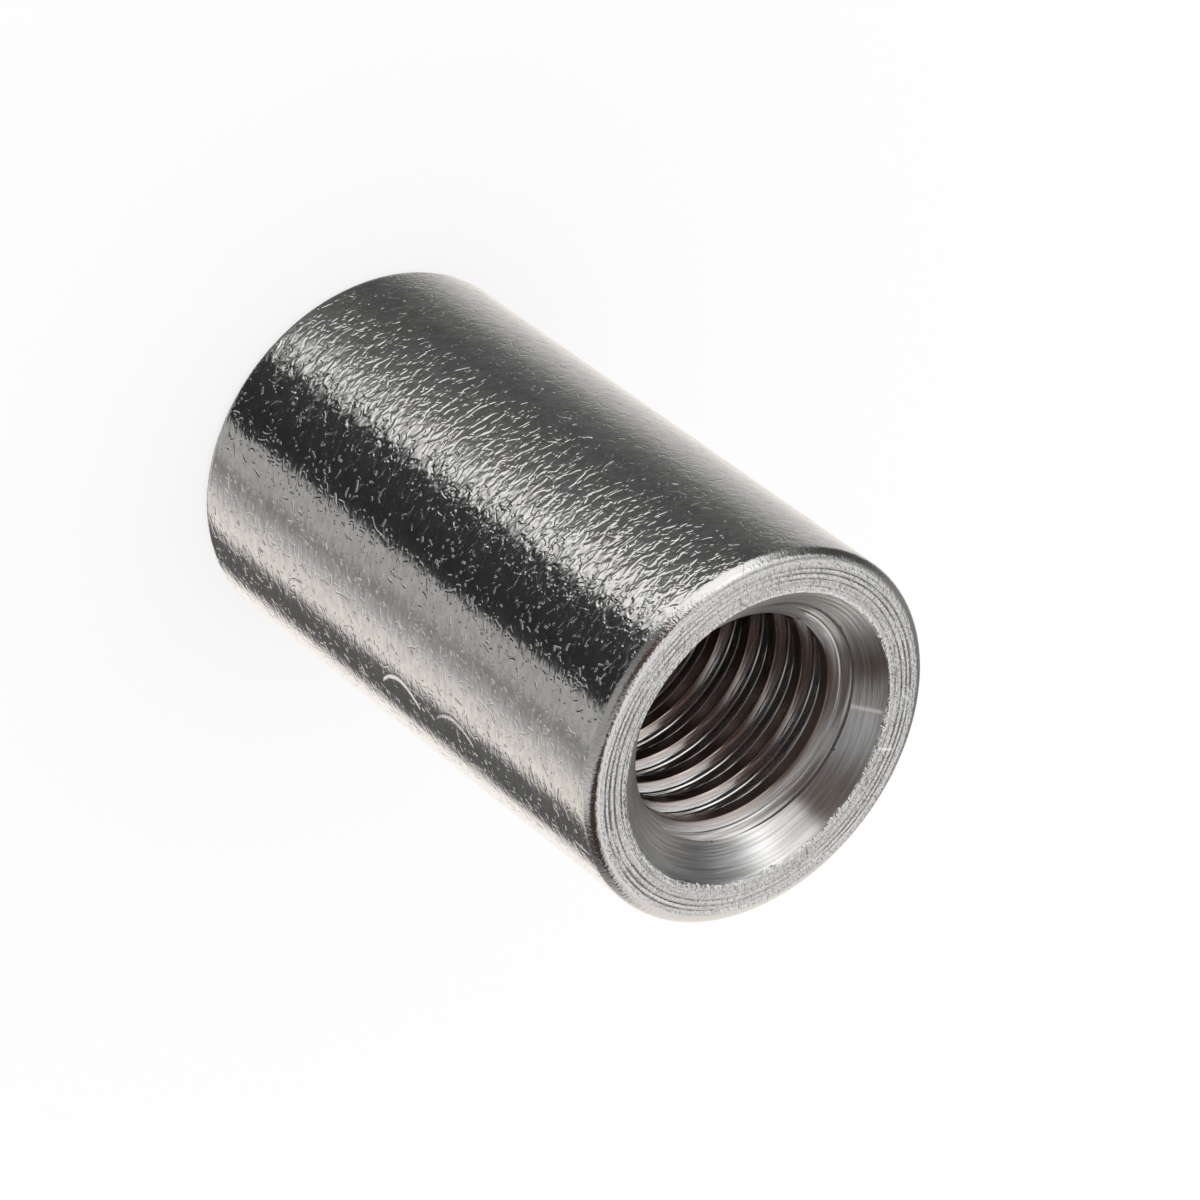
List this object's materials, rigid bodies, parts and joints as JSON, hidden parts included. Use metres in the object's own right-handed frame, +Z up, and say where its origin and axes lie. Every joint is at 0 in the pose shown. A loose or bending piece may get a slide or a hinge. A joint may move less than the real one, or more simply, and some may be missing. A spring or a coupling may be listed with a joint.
{
  "type": "coupling nut",
  "caption": "Round steel coupling nut: a plain turned sleeve with a through thread and countersunk mouths, which joins two threaded rods end to end.",
  "frame": {"origin": "centre of the end face that the nut stands on", "axes": "+Z up along the axis of the threaded hole; X and Y lie across it, and no direction across it stands out"},
  "size_m": [0.012, 0.012, 0.02],
  "materials": {
    "steel": "turned stainless steel, tumbled, with fine scratches outside and turning marks on the ends"
  },
  "bodies": {
    "root": {"coupling_nut": "steel"}
  },
  "joints": []
}
